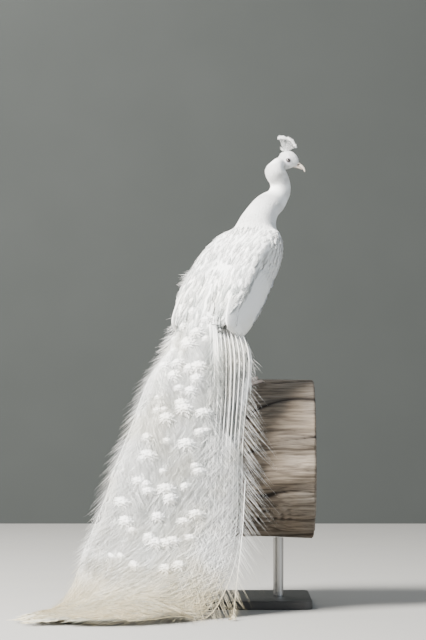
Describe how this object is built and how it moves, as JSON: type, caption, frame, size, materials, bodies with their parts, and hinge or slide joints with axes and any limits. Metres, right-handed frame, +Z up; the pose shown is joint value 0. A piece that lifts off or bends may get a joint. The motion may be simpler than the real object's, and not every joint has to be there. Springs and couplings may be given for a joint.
{
  "type": "white peacock figure",
  "caption": "Life-size white peacock perched on a cut length of tree trunk, head turned to its right, its long train hanging down to the floor; on a plain display base.",
  "frame": {"origin": "on the floor, directly below the point midway between the feet, on the underside of the display base", "axes": "+Z up; +Y the way the bird's body faces; +X to the bird's right"},
  "size_m": [0.6886, 1.2865, 1.474],
  "materials": {
    "plumage": "soft white feathers",
    "train_plumage": "loose white feathers, cream towards the tips",
    "bill": "pale pink horn",
    "eye": "dark, polished",
    "leg": "scaled skin",
    "horn": "horn",
    "wood": "weathered, furrowed",
    "stand": "satin black"
  },
  "bodies": {
    "root": {"bill_lower": "bill", "bill_upper": "bill", "claw_left_hind": "horn", "claw_left_inner": "horn", "claw_left_middle": "horn", "claw_left_outer": "horn", "claw_right_hind": "horn", "claw_right_inner": "horn", "claw_right_middle": "horn", "claw_right_outer": "horn", "crest": "plumage", "eye_left": "eye", "eye_right": "eye", "foot_left": "leg", "foot_right": "leg", "head": "plumage", "neck_lower": "plumage", "neck_upper": "plumage", "shank_left": "leg", "shank_right": "leg", "spur_left": "horn", "spur_right": "horn", "stand_base": "stand", "stand_perch": "wood", "stand_rod_1": "stand", "stand_rod_2": "stand", "tail": "plumage", "thigh_left": "plumage", "thigh_right": "plumage", "train_lower": "train_plumage", "train_middle": "train_plumage", "train_upper": "train_plumage", "trunk": "plumage", "wing_left": "plumage", "wing_right": "plumage"}
  },
  "joints": []
}
